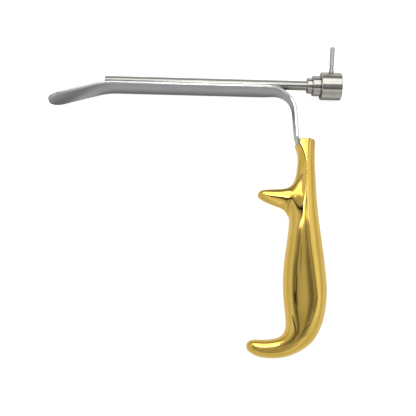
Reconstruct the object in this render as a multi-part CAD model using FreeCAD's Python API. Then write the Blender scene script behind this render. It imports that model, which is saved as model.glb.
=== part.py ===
import FreeCAD, Part
import math
import os
from FreeCAD import Vector

# Retractor that carries a telescope: a cast grip, a bent blade and a sheath along the blade.
# Sizes are in millimetres and angles in degrees.
# X is the telescope's axis. The telescope enters at the origin and moves towards -X.
# Z is the blade's width: the instrument lies on its side, and Z = 0 is its middle plane.

# Blade
BLADE_WIDTH = 28.0
BLADE_THICKNESS = 1.8
BLADE_LENGTH = 142.9          # straight top face, from the shank's back to the tip's bend
TIP_LENGTH = 44.0             # along the turned-down tip
TIP_TURN = 16.0
TIP_BEND_RADIUS = 50.0
MAIN_BEND_RADIUS = 18.5
SHANK_THICKNESS = 2.5
SHANK_LEAN = 5.0
SHANK_WIDTH = 13.6            # where the shank meets the handle
SHANK_REACH = 37.2            # from the blade's top face down to the handle's top
SHANK_SHOULDER = 2.0          # the full width goes on this far below the blade's top face
SHANK_WAIST = 0.8             # how far the sides fall inside a straight taper
TANG_LENGTH = 10.0
TANG_TIP_WIDTH = 3.6
BLADE_EDGE_ROUND = 0.3

# Sheath along the blade's top face
SHEATH_RADIUS = 3.55
SHEATH_BORE_RADIUS = 3.05
SHEATH_FRONT = -174.7         # place of the open front end on the telescope's axis
BRAZE_GAP = 0.4
BRAZE_FOOT_WIDTH = 4.6
BRAZE_NECK_WIDTH = 2.8
BRAZE_START_BACK = 1.5        # the solder starts this far behind the sheath's front end

# Coupling, from the ferrule to the lock drum
FERRULE_RADIUS = 5.85
FERRULE_LENGTH = 4.1
BODY_RADIUS = 7.65
BODY_LENGTH = 6.0
SHEATH_SOCKET_DEPTH = 2.0     # how far the sheath enters the lock body
DRUM_RADIUS = 10.45
DRUM_LENGTH = 15.4
DRUM_OVERHANG = 3.4           # the drum's rear rim stands this far behind the hub's end
DRUM_CHAMFER = 0.5
STEP_CHAMFER = 0.35
HUB_RADIUS = 6.0
HUB_FIT = 0.05                # radial running clearance of the drum on the hub
AXIAL_PLAY = 0.1
THREAD_RADIUS = 5.2
DRUM_WALL = 2.05              # around the recess in the drum's rear mouth
NUT_THICKNESS = 1.8
NUT_CLEARANCE = 0.5           # radial, inside the recess
NUT_SLOT_WIDTH = 1.6
NUT_SLOT_DEPTH = 1.0
WASHER_THICKNESS = 0.5
WASHER_CLEARANCE = 0.4
WASHER_FIT = 0.05

# Telescope's seat in the hub
SEAT_RADIUS = 4.0
SEAT_DEPTH = 9.0
SEAL_PLACE = 6.5              # from the hub's end
RING_PLACE = 9.6
GROOVE_WIDTH = 1.3
GROOVE_DEPTH = 1.0
RING_SECTION_RADIUS = 0.47

# Bayonet groove in the drum's rear mouth
BAYONET_DEPTH = 1.0
BAYONET_WIDTH = 1.6
BAYONET_LIP = 0.9             # metal left behind the groove
BAYONET_SWEEP = 75.0
BAYONET_ENTRY_WIDTH = 2.4
BAYONET_ANGLE = 110.0         # place of the entry, turned from the lever towards +Z

# Lever and the stop that limits its turn
LEVER_PLACE = 4.3             # in front of the hub's end
LEVER_REST = 20.0             # turned from +Y towards +Z
LEVER_TRAVEL = 40.0
LEVER_RADIUS = 1.75
LEVER_HEIGHT = 18.9
LEVER_DOME = 0.8
LEVER_NECK_RADIUS = 1.3
LEVER_NECK_HEIGHT = 3.9
LEVER_NECK_LENGTH = 0.8
LEVER_FOOT_RADIUS = 1.95
LEVER_FOOT_HEIGHT = 0.5
LEVER_THREAD_RADIUS = 1.0
LEVER_THREAD_LENGTH = 2.2
SPOT_FACE_DEPTH = 0.2
SPOT_FACE_CLEARANCE = 0.3
STOP_PIN_RADIUS = 0.5
STOP_PIN_CIRCLE = 6.75
STOP_PIN_LENGTH = 3.6
STOP_PIN_STANDOUT = 1.8
STOP_PIN_ANGLE = 200.0
STOP_CLEARANCE = 0.25

# Handle
HANDLE_LENGTH = 162.3         # along Y, from the flat top to the hook's lowest point
HANDLE_WIDTH = 32.3           # along X, across the belly
HANDLE_TOP_WIDTH = 14.5
HANDLE_TOP_ROUND = 1.2
HEAD_THICKNESS = 13.2
BELLY_THICKNESS = 18.6
SPUR_REACH = 26.5             # in front of the corner of shank and blade
SPUR_THICKNESS = 8.2
HOOK_THICKNESS = 11.4
HEAD_BEVEL_DROP = 8.0         # the front top corner is cut off along this height
HEAD_BEVEL_RUN = 3.0

TOP_FRONT = 0.034             # place of the top's front edge, as a share of the handle's width

# Places that follow from the sizes above
BLADE_TOP = -(SHEATH_RADIUS + BRAZE_GAP)
DRUM_REAR = DRUM_OVERHANG
DRUM_FRONT = DRUM_REAR - DRUM_LENGTH
SHOULDER = DRUM_FRONT - AXIAL_PLAY
BODY_FRONT = SHOULDER - BODY_LENGTH
FERRULE_FRONT = BODY_FRONT - FERRULE_LENGTH
WASHER_FRONT = -NUT_THICKNESS - WASHER_THICKNESS
WEB_REAR = WASHER_FRONT - AXIAL_PLAY
RECESS_RADIUS = DRUM_RADIUS - DRUM_WALL
BAYONET_RADIUS = RECESS_RADIUS + BAYONET_DEPTH
SHANK_BACK = -31.5            # where the shank's back face would meet the blade's top face

X_AXIS = Vector(1, 0, 0)
Z_AXIS = Vector(0, 0, 1)


def from_corner(x, y, z=0.0):
    """A point measured from the corner of the shank's back and the blade's top face."""
    return Vector(SHANK_BACK + x, BLADE_TOP + y, z)


def turned(radius, angle, x=0.0):
    """A point around the telescope's axis, turned from +Y towards +Z."""
    a = math.radians(angle)
    return Vector(x, radius * math.cos(a), radius * math.sin(a))


def crossing(p, d, q, e):
    """Where the line through p along d meets the line through q along e."""
    k = ((q.x - p.x) * e.y - (q.y - p.y) * e.x) / (d.x * e.y - d.y * e.x)
    return p + d * k


def bent_path(points, radii):
    """Straight edges through the points, with an arc of the given radius at each inner point."""
    edges = []
    start = points[0]
    for before, corner, after, radius in zip(points, points[1:], points[2:], radii):
        back = (before - corner).normalize()
        ahead = (after - corner).normalize()
        half = back.getAngle(ahead) / 2
        reach = radius / math.tan(half)
        centre = corner + (back + ahead).normalize() * (radius / math.sin(half))
        middle = centre + (corner - centre).normalize() * radius
        first = corner + back * reach
        last = corner + ahead * reach
        edges.append(Part.makeLine(start, first))
        edges.append(Part.Arc(first, middle, last).toShape())
        start = last
    edges.append(Part.makeLine(start, points[-1]))
    return edges


def turned_body(profile):
    """A solid turned about the telescope's axis, from a closed outline of (x, radius) points."""
    points = [Vector(x, r, 0) for x, r in profile]
    face = Part.Face(Part.makePolygon(points + points[:1]))
    return face.revolve(Vector(0, 0, 0), X_AXIS, 360)


def ring(x_start, x_end, inner, outer):
    """A plain ring about the telescope's axis."""
    return turned_body([(x_start, inner), (x_end, inner), (x_end, outer), (x_start, outer)])


def round_ring(x, circle_radius, section_radius):
    """An O-ring about the telescope's axis."""
    return Part.makeTorus(circle_radius, section_radius, Vector(x, 0, 0), X_AXIS)


def arc_block(x_start, x_end, inner, outer, angle, sweep):
    """A block bent about the telescope's axis, from one angle over a sweep towards +Z."""
    face = Part.Face(Part.makePolygon([
        turned(inner, angle, x_start),
        turned(inner, angle, x_end),
        turned(outer, angle, x_end),
        turned(outer, angle, x_start),
        turned(inner, angle, x_start),
    ]))
    return face.revolve(Vector(0, 0, 0), X_AXIS, sweep)


# Blade

def shank_direction():
    a = math.radians(SHANK_LEAN)
    return Vector(math.sin(a), -math.cos(a), 0)


def tip_direction():
    a = math.radians(TIP_TURN)
    return Vector(-math.cos(a), -math.sin(a), 0)


def blade_side():
    """The blade, shank and tang seen from the side, as one bent strip that thins towards the tip."""
    tip = tip_direction()
    shank = shank_direction()
    tip_under = Vector(-tip.y, tip.x, 0) * BLADE_THICKNESS
    shank_front = Vector(shank.y, -shank.x, 0) * SHANK_THICKNESS
    along = Vector(1, 0, 0)
    under = Vector(0, -BLADE_THICKNESS, 0)
    tip_corner = from_corner(-BLADE_LENGTH, 0)
    main_corner = from_corner(0, 0)
    shank_length = (SHANK_REACH + TANG_LENGTH) / math.cos(math.radians(SHANK_LEAN))
    outer = [tip_corner + tip * TIP_LENGTH, tip_corner, main_corner, main_corner + shank * shank_length]
    inner_tip_corner = crossing(tip_corner + tip_under, tip, tip_corner + under, along)
    inner_main_corner = crossing(tip_corner + under, along, main_corner + shank_front, shank)
    inner = [outer[0] + tip_under, inner_tip_corner, inner_main_corner, outer[3] + shank_front]
    edges = bent_path(outer, [TIP_BEND_RADIUS, MAIN_BEND_RADIUS])
    edges += bent_path(inner, [TIP_BEND_RADIUS - BLADE_THICKNESS, MAIN_BEND_RADIUS - SHANK_THICKNESS])
    edges.append(Part.makeLine(outer[0], inner[0]))
    edges.append(Part.makeLine(outer[-1], inner[-1]))
    return Part.Face(Part.Wire(Part.__sortEdges__(edges)))


def shank_sides(x_start, x_end, grow=0.0):
    """A block with the shank's tapered outline, seen along X."""
    full = BLADE_WIDTH / 2 + grow
    waist = SHANK_WIDTH / 2 + grow
    tip = TANG_TIP_WIDTH / 2 + grow
    top = BLADE_TOP + 3 * SHEATH_RADIUS
    start = BLADE_TOP - SHANK_SHOULDER
    neck = BLADE_TOP - SHANK_REACH
    end = neck - TANG_LENGTH
    taper = Part.BSplineCurve()
    taper.interpolate(
        [Vector(x_start, start, full), Vector(x_start, (start + neck) / 2, (full + waist) / 2 - SHANK_WAIST),
         Vector(x_start, neck, waist)],
        InitialTangent=Vector(0, -1, 0), FinalTangent=Vector(0, -1, -0.05))
    points = [Vector(x_start, neck, waist), Vector(x_start, end + tip, tip)]
    half = [Part.makeLine(Vector(x_start, top, full), Vector(x_start, start, full)), taper.toShape(),
            Part.makeLine(*points)]
    mirrored = [edge.mirror(Vector(0, 0, 0), Z_AXIS) for edge in half]
    round_end = Part.Arc(points[1], Vector(x_start, end, 0),
                         Vector(x_start, end + tip, -tip)).toShape()
    lid = Part.makeLine(Vector(x_start, top, full), Vector(x_start, top, -full))
    outline = Part.Wire(Part.__sortEdges__(half + mirrored + [round_end, lid]))
    return Part.Face(outline).extrude(Vector(x_end - x_start, 0, 0))


def tip_corners():
    """The metal outside the blade's half-round tip."""
    tip = tip_direction()
    up = Vector(tip.y, -tip.x, 0)
    radius = BLADE_WIDTH / 2
    centre = from_corner(-BLADE_LENGTH, 0) + tip * (TIP_LENGTH - radius)
    depth = 4 * BLADE_THICKNESS
    base = centre - up * (depth / 2)
    corners = [base - Z_AXIS * (radius + 1), base - Z_AXIS * (radius + 1) + tip * (radius + 1),
               base + Z_AXIS * (radius + 1) + tip * (radius + 1), base + Z_AXIS * (radius + 1)]
    block = Part.Face(Part.makePolygon(corners + corners[:1])).extrude(up * depth)
    return block.cut(Part.makeCylinder(radius, depth, base, up))


def blade_blank():
    """The blade before its edges are rounded."""
    strip = blade_side()
    strip.translate(Vector(0, 0, -BLADE_WIDTH / 2))
    strip = strip.extrude(Vector(0, 0, BLADE_WIDTH))
    strip = strip.cut(tip_corners())
    box = strip.BoundBox
    bend_start = SHANK_BACK - MAIN_BEND_RADIUS
    keep = shank_sides(bend_start, box.XMax + BLADE_THICKNESS)
    front = Part.makeBox(bend_start - box.XMin + BLADE_THICKNESS, 2 * box.YLength, BLADE_WIDTH,
                         Vector(box.XMin - BLADE_THICKNESS, BLADE_TOP - 1.5 * box.YLength, -BLADE_WIDTH / 2))
    return strip.common(keep.fuse(front)).removeSplitter()


def long_edges(blank):
    """The edges along both faces of the strip, apart from those buried in the handle."""
    buried = BLADE_TOP - SHANK_REACH - 1.0
    chosen = []
    for edge in blank.Edges:
        box = edge.BoundBox
        across = box.ZMax - box.ZMin > BLADE_WIDTH * 0.9 and box.XMin > SHANK_BACK - BLADE_LENGTH
        in_handle = box.YMin < buried and box.YMax < buried + SHANK_REACH / 2
        through = edge.Length < SHANK_THICKNESS * 1.3
        if not (across or in_handle or through):
            chosen.append(edge)
    return chosen


def blade():
    blank = blade_blank()
    return blank.makeFillet(BLADE_EDGE_ROUND, long_edges(blank))


# Handle

def handle_section(front, back, thickness, front_round, back_round):
    """A closed outline between two points: flat sides, and a half ellipse at each end."""
    across = back - front
    width = across.Length
    across.normalize()
    half = Z_AXIS * (thickness / 2)
    k = 0.5523
    a = front + across * front_round
    b = front + across * (width - back_round)

    def quarter(start, start_dir, end, end_dir):
        curve = Part.BezierCurve()
        curve.setPoles([start, start + start_dir * k, end + end_dir * k, end])
        return curve.toShape()

    edges = [
        Part.makeLine(a + half, b + half),
        quarter(b + half, across * back_round, back, half),
        quarter(back, -half, b - half, across * back_round),
        Part.makeLine(b - half, a - half),
        quarter(a - half, across * -front_round, front, -half),
        quarter(front, half, a + half, across * -front_round),
    ]
    return Part.Wire(edges)


def grip_loft():
    """The grip from its flat top down to the hook's end.

    Each station has the front point, the back point, the thickness and the two end rounds. A point
    is a share of the handle's width and a share of its length down from the top.
    """
    edge = HANDLE_TOP_ROUND
    head = HEAD_THICKNESS
    belly = BELLY_THICKNESS
    hook = HOOK_THICKNESS
    stations = top_stations() + [grip_station(*s) for s in [
        ((0.046, 0.0419), (0.489, 0.0419), head, 4.0, 4.8),
        ((0.087, 0.0850), (0.492, 0.0850), head, 6.0, 5.0),
        ((0.099, 0.1405), (0.495, 0.1405), head + 0.4, 6.6, 5.4),
        ((0.080, 0.2144), (0.520, 0.2144), head + 1.2, 7.2, 5.9),
        ((0.019, 0.2945), (0.551, 0.2945), head + 2.2, 8.0, 6.4),
        ((-0.080, 0.3869), (0.594, 0.3869), head + 3.2, 9.2, 7.0),
        ((-0.130, 0.4732), (0.663, 0.4732), belly - 1.4, 10.4, 7.6),
        ((-0.195, 0.5656), (0.728, 0.5656), belly - 0.4, 11.4, 8.2),
        ((-0.217, 0.6704), (0.780, 0.6704), belly, 12.0, 8.8),
        ((-0.173, 0.7689), (0.762, 0.7689), belly - 0.6, 11.8, 9.2),
        ((-0.139, 0.8429), (0.659, 0.8571), belly - 2.2, 10.6, 9.2),
        ((-0.170, 0.8811), (0.458, 0.9230), belly - 3.8, 9.0, 8.2),
        ((-0.254, 0.9008), (0.183, 0.9680), belly - 5.2, 8.0, 7.6),
        ((-0.396, 0.9125), (-0.136, 0.9926), hook * 1.09, 7.0, 7.0),
        ((-0.601, 0.9181), (-0.526, 1.0000), hook * 1.03, 6.4, 6.4),
        ((-0.805, 0.9187), (-0.786, 0.9908), hook, 5.4, 5.4),
        ((-0.941, 0.9230), (-0.932, 0.9766), hook * 0.78, 4.1, 4.1),
        ((-1.000, 0.9316), (-0.997, 0.9661), hook * 0.5, 2.6, 2.6),
        ((-1.019, 0.9421), (-1.019, 0.9556), hook * 0.19, 1.0, 1.0),
    ]]
    return Part.makeLoft(stations, True, False)


def handle_point(across, down):
    return from_corner(across * HANDLE_WIDTH, -SHANK_REACH - down * HANDLE_LENGTH)


def grip_station(front, back, thickness, front_round, back_round):
    return handle_section(handle_point(*front), handle_point(*back), thickness, front_round, back_round)


def top_stations():
    """The flat top and the round of its edge."""
    edge = HANDLE_TOP_ROUND
    front, back = handle_point(TOP_FRONT, 0), handle_point(TOP_FRONT, 0) + X_AXIS * HANDLE_TOP_WIDTH
    stations = []
    for inset, drop in ((edge, 0), (edge / 3, edge / 3), (0, edge)):
        down = Vector(0, -drop, 0)
        stations.append(handle_section(front + X_AXIS * inset + down, back - X_AXIS * inset + down,
                                       HEAD_THICKNESS - 2 * inset, 1.7, 4.6 - inset))
    return stations


def spur_loft():
    """The finger spur, which flares into the grip's front column above and below its root.

    Each station has its place as a share of the reach, its top and bottom as shares of the handle's
    length, and its thickness.
    """
    spur = SPUR_THICKNESS
    return Part.makeLoft([spur_station(*s) for s in [
        (-0.287, 0.1343, 0.4362, spur * 1.24),
        (-0.113, 0.1405, 0.4239, spur * 1.2),
        (-0.030, 0.1935, 0.3962, spur * 1.17),
        (0.068, 0.2200, 0.3722, spur * 1.16),
        (0.189, 0.2311, 0.3450, spur * 1.14),
        (0.340, 0.2366, 0.3266, spur * 1.1),
        (0.581, 0.2397, 0.3124, spur * 1.05),
        (0.823, 0.2434, 0.2970, spur),
        (0.928, 0.2489, 0.2890, spur * 0.78),
        (0.981, 0.2569, 0.2803, spur * 0.46),
        (1.000, 0.2643, 0.2742, spur * 0.19),
    ]], True, False)


def spur_station(reach, top, bottom, thickness):
    end_round = (bottom - top) * HANDLE_LENGTH * 0.48
    shift = Vector(-reach * SPUR_REACH, 0, 0)
    return handle_section(handle_point(0, top) + shift, handle_point(0, bottom) + shift,
                          thickness, end_round, end_round)


def handle(blank):
    """The casting, with the open seat that the tang is brazed into."""
    body = grip_loft().fuse(spur_loft())
    shank_shift = math.tan(math.radians(SHANK_LEAN)) * SHANK_REACH
    front = SHANK_BACK - HANDLE_WIDTH
    seat = shank_sides(front, SHANK_BACK + shank_shift)
    top = BLADE_TOP - SHANK_REACH
    bevel = Part.Face(Part.makePolygon([
        Vector(SHANK_BACK + shank_shift, top, -BELLY_THICKNESS),
        Vector(SHANK_BACK + shank_shift - HEAD_BEVEL_RUN, top - HEAD_BEVEL_DROP, -BELLY_THICKNESS),
        Vector(front, top - HEAD_BEVEL_DROP, -BELLY_THICKNESS),
        Vector(front, top, -BELLY_THICKNESS),
        Vector(SHANK_BACK + shank_shift, top, -BELLY_THICKNESS),
    ])).extrude(Vector(0, 0, 2 * BELLY_THICKNESS))
    return body.cut(seat).cut(blank).cut(bevel)


# Sheath and coupling

def sheath_tube():
    return ring(SHEATH_FRONT, BODY_FRONT + SHEATH_SOCKET_DEPTH, SHEATH_BORE_RADIUS, SHEATH_RADIUS)


def sheath_braze():
    """Solder between the blade's flat top and the sheath, hollow on both sides."""
    start = SHEATH_FRONT + BRAZE_START_BACK
    end = SHANK_BACK - MAIN_BEND_RADIUS - 2.0
    foot = BRAZE_FOOT_WIDTH / 2
    neck = BRAZE_NECK_WIDTH / 2
    top = -math.sqrt(SHEATH_RADIUS ** 2 - neck ** 2)

    def side(sign):
        curve = Part.BezierCurve()
        curve.setPoles([Vector(start, BLADE_TOP, sign * foot), Vector(start, BLADE_TOP + 0.05, sign * neck),
                        Vector(start, top, sign * neck)])
        return curve.toShape()

    base = Part.makeLine(Vector(start, BLADE_TOP, -foot), Vector(start, BLADE_TOP, foot))
    lid = Part.Arc(Vector(start, top, -neck), Vector(start, -SHEATH_RADIUS, 0),
                   Vector(start, top, neck)).toShape()
    outline = Part.Wire(Part.__sortEdges__([base, side(1), lid, side(-1)]))
    return Part.Face(outline).extrude(Vector(end - start, 0, 0))


def front_ferrule():
    c = STEP_CHAMFER
    return turned_body([
        (FERRULE_FRONT, SHEATH_RADIUS), (BODY_FRONT, SHEATH_RADIUS), (BODY_FRONT, FERRULE_RADIUS),
        (FERRULE_FRONT + c, FERRULE_RADIUS), (FERRULE_FRONT, FERRULE_RADIUS - c),
    ])


def lock_body():
    """The second step with its hub, bored for the sheath, the telescope and the two rings."""
    c = STEP_CHAMFER
    solid = turned_body([
        (BODY_FRONT, SHEATH_BORE_RADIUS), (0, SHEATH_BORE_RADIUS), (0, THREAD_RADIUS),
        (WASHER_FRONT, THREAD_RADIUS), (WASHER_FRONT, HUB_RADIUS), (SHOULDER, HUB_RADIUS),
        (SHOULDER, BODY_RADIUS), (BODY_FRONT + c, BODY_RADIUS), (BODY_FRONT, BODY_RADIUS - c),
    ])
    inner = SHEATH_BORE_RADIUS / 2
    socket_end = BODY_FRONT + SHEATH_SOCKET_DEPTH
    solid = solid.cut(ring(BODY_FRONT, socket_end, inner, SHEATH_RADIUS))
    solid = solid.cut(ring(-SEAT_DEPTH, 0, inner, SEAT_RADIUS))
    half = GROOVE_WIDTH / 2
    solid = solid.cut(ring(-SEAL_PLACE - half, -SEAL_PLACE + half, inner, SEAT_RADIUS + GROOVE_DEPTH))
    solid = solid.cut(ring(-RING_PLACE - half, -RING_PLACE + half,
                           HUB_RADIUS - GROOVE_DEPTH, HUB_RADIUS + 1))
    return solid.cut(stop_pin())


def stop_pin():
    """Pressed into the body's shoulder, along the axis."""
    start = SHOULDER - (STOP_PIN_LENGTH - STOP_PIN_STANDOUT)
    return Part.makeCylinder(STOP_PIN_RADIUS, STOP_PIN_LENGTH,
                             turned(STOP_PIN_CIRCLE, STOP_PIN_ANGLE, start), X_AXIS)


def stop_slot():
    """The drum's slot for the stop pin, long enough for the lever's whole travel."""
    reach = STOP_PIN_RADIUS + STOP_CLEARANCE
    side = math.degrees(reach / STOP_PIN_CIRCLE)
    return arc_block(DRUM_FRONT - 1, SHOULDER + STOP_PIN_STANDOUT + STOP_CLEARANCE,
                     HUB_RADIUS - 0.5, STOP_PIN_CIRCLE + reach,
                     STOP_PIN_ANGLE - side, LEVER_TRAVEL + 2 * side)


def bayonet_cut():
    """The groove that draws the telescope's pin in, and its entry from the rear rim."""
    rear = DRUM_REAR - BAYONET_LIP
    front = rear - BAYONET_WIDTH
    angle = LEVER_REST + BAYONET_ANGLE
    groove = arc_block(front, rear, RECESS_RADIUS - 1, BAYONET_RADIUS, angle, BAYONET_SWEEP)
    half = math.degrees(BAYONET_ENTRY_WIDTH / 2 / BAYONET_RADIUS)
    entry = arc_block(front, DRUM_REAR + 1, RECESS_RADIUS - 1, BAYONET_RADIUS, angle - half, 2 * half)
    return groove.fuse(entry)


def lock_drum():
    c = DRUM_CHAMFER
    bore = HUB_RADIUS + HUB_FIT
    solid = turned_body([
        (DRUM_FRONT, bore), (WEB_REAR, bore), (WEB_REAR, RECESS_RADIUS), (DRUM_REAR, RECESS_RADIUS),
        (DRUM_REAR, DRUM_RADIUS - c), (DRUM_REAR - c, DRUM_RADIUS), (DRUM_FRONT + c, DRUM_RADIUS),
        (DRUM_FRONT, DRUM_RADIUS - c),
    ])
    solid = solid.cut(stop_slot()).cut(bayonet_cut())
    outward = turned(1, LEVER_REST)
    seat = turned(DRUM_RADIUS - SPOT_FACE_DEPTH, LEVER_REST, -LEVER_PLACE)
    spot = Part.makeCylinder(LEVER_FOOT_RADIUS + SPOT_FACE_CLEARANCE, 3, seat, outward)
    hole = Part.makeCylinder(LEVER_THREAD_RADIUS, LEVER_THREAD_LENGTH,
                             seat - outward * LEVER_THREAD_LENGTH, outward)
    return solid.cut(spot).cut(hole)


def lever_pin():
    """The domed lever, turned with a foot and a neck, and screwed into the drum."""
    top = LEVER_HEIGHT + SPOT_FACE_DEPTH
    neck_top = LEVER_NECK_HEIGHT + LEVER_NECK_LENGTH / 2
    neck_bottom = LEVER_NECK_HEIGHT - LEVER_NECK_LENGTH / 2
    slope = LEVER_RADIUS - LEVER_NECK_RADIUS
    outline = [
        (0, -LEVER_THREAD_LENGTH), (LEVER_THREAD_RADIUS, -LEVER_THREAD_LENGTH), (LEVER_THREAD_RADIUS, 0),
        (LEVER_FOOT_RADIUS, 0), (LEVER_FOOT_RADIUS, LEVER_FOOT_HEIGHT / 2),
        (LEVER_RADIUS, LEVER_FOOT_HEIGHT), (LEVER_RADIUS, neck_bottom - slope),
        (LEVER_NECK_RADIUS, neck_bottom), (LEVER_NECK_RADIUS, neck_top),
        (LEVER_RADIUS, neck_top + slope), (LEVER_RADIUS, top - LEVER_DOME),
    ]
    points = [Vector(r, h, 0) for r, h in outline]
    edges = [Part.makeLine(a, b) for a, b in zip(points, points[1:])]
    sphere = (LEVER_RADIUS ** 2 + LEVER_DOME ** 2) / (2 * LEVER_DOME)
    lift = sphere - LEVER_DOME
    middle_angle = math.atan2(lift, LEVER_RADIUS) / 2 + math.pi / 4
    middle = Vector(sphere * math.cos(middle_angle),
                    top - sphere + sphere * math.sin(middle_angle), 0)
    edges.append(Part.Arc(points[-1], middle, Vector(0, top, 0)).toShape())
    edges.append(Part.makeLine(Vector(0, top, 0), points[0]))
    pin = Part.Face(Part.Wire(edges)).revolve(Vector(0, 0, 0), Vector(0, 1, 0), 360)
    pin.rotate(Vector(0, 0, 0), X_AXIS, LEVER_REST)
    pin.translate(turned(DRUM_RADIUS - SPOT_FACE_DEPTH, LEVER_REST, -LEVER_PLACE))
    return pin


def retaining_nut():
    """Ring nut on the hub's thread, with two slots for a pin spanner."""
    radius = RECESS_RADIUS - NUT_CLEARANCE
    solid = ring(-NUT_THICKNESS, 0, THREAD_RADIUS, radius)
    slot = Part.makeBox(NUT_SLOT_DEPTH, 4 * radius, NUT_SLOT_WIDTH,
                        Vector(-NUT_SLOT_DEPTH, -2 * radius, -NUT_SLOT_WIDTH / 2))
    middle = ring(-NUT_SLOT_DEPTH, 0, THREAD_RADIUS / 2, (THREAD_RADIUS + radius) / 2)
    return solid.cut(slot.cut(middle))


def retaining_washer():
    return ring(WASHER_FRONT, -NUT_THICKNESS, THREAD_RADIUS + WASHER_FIT, RECESS_RADIUS - WASHER_CLEARANCE)


def friction_ring():
    """In the hub's outer groove, under the drum."""
    circle = HUB_RADIUS - GROOVE_DEPTH + RING_SECTION_RADIUS + 0.02
    return round_ring(-RING_PLACE, circle, RING_SECTION_RADIUS)


def telescope_seal():
    """In the seat's inner groove, around the telescope."""
    circle = SEAT_RADIUS + GROOVE_DEPTH - RING_SECTION_RADIUS - 0.02
    return round_ring(-SEAL_PLACE, circle, RING_SECTION_RADIUS)


def build():
    blank = blade_blank()
    return {
        "handle": handle(blank),
        "blade": blade(),
        "sheath_tube": sheath_tube(),
        "sheath_braze": sheath_braze(),
        "front_ferrule": front_ferrule(),
        "lock_body": lock_body(),
        "lock_drum": lock_drum(),
        "lever_pin": lever_pin(),
        "retaining_nut": retaining_nut(),
        "retaining_washer": retaining_washer(),
        "friction_ring": friction_ring(),
        "telescope_seal": telescope_seal(),
        "stop_pin": stop_pin(),
    }


os.makedirs("parts", exist_ok=True)
for name, shape in build().items():
    Part.makeSolid(shape.Solids[0]).exportStep("parts/" + name + ".step")
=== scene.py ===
import math

import bmesh
import bpy
import numpy as np
from mathutils import Matrix, Vector


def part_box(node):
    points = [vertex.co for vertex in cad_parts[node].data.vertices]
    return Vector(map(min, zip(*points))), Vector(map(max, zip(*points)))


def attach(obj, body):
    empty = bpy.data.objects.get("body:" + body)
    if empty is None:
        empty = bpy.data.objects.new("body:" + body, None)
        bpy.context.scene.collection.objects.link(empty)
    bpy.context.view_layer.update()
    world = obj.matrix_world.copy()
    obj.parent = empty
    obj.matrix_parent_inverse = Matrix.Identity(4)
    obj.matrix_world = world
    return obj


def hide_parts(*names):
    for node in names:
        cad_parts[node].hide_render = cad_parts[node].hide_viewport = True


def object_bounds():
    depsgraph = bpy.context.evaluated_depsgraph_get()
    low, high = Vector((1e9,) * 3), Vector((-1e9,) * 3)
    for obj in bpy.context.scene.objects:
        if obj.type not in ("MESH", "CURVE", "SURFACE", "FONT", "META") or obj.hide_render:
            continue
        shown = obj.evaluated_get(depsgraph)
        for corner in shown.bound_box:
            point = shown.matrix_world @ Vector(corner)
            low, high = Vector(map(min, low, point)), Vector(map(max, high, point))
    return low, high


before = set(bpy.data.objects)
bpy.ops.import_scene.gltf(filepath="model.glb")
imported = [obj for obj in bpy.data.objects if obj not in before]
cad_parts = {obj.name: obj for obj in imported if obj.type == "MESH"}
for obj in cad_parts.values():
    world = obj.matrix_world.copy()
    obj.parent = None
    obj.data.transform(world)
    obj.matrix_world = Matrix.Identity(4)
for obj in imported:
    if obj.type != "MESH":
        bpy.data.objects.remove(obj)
cad_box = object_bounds()

MM = 0.001

# Camera: the photograph's viewing angle, in the part's frame
IMAGE_SIZE = 416
FOCAL_PIXELS = 771.0
CAMERA_TILT = math.radians(7.8)       # towards +Y
CAMERA_ROLL = math.radians(1.5)
CAMERA_DISTANCE = 0.5705
AIM = Vector((-0.0945, -0.09525, 0.0))

# Places on the instrument, read from the part's nodes, and the lever pin's lean
FLOOR_Z = cad_box[0].z
BLADE_LOW, BLADE_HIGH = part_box("blade")
HANDLE_LOW, HANDLE_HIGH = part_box("handle")
LEVER_LEAN = math.radians(20)         # from +Y towards +Z


def make_camera():
    """Looks down on the instrument, as the photograph does."""
    forward = Vector((0, math.sin(CAMERA_TILT), -math.cos(CAMERA_TILT)))
    level = Vector((1, 0, 0))
    rise = Vector((0, math.cos(CAMERA_TILT), math.sin(CAMERA_TILT)))
    right = level * math.cos(CAMERA_ROLL) + rise * math.sin(CAMERA_ROLL)
    up = rise * math.cos(CAMERA_ROLL) - level * math.sin(CAMERA_ROLL)
    data = bpy.data.cameras.new("camera")
    data.sensor_width = 36.0
    data.lens = data.sensor_width * FOCAL_PIXELS / IMAGE_SIZE
    data.clip_start = 0.01
    data.clip_end = 20.0
    camera = bpy.data.objects.new("camera", data)
    bpy.context.scene.collection.objects.link(camera)
    turn = Matrix((right, up, -forward)).transposed().to_4x4()
    camera.matrix_world = Matrix.Translation(AIM - forward * CAMERA_DISTANCE) @ turn
    bpy.context.scene.camera = camera


# Node helpers

MIX_FACTOR, MIX_A, MIX_B, MIX_RESULT = 0, 6, 7, 2       # the mix node's sockets for colours


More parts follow.
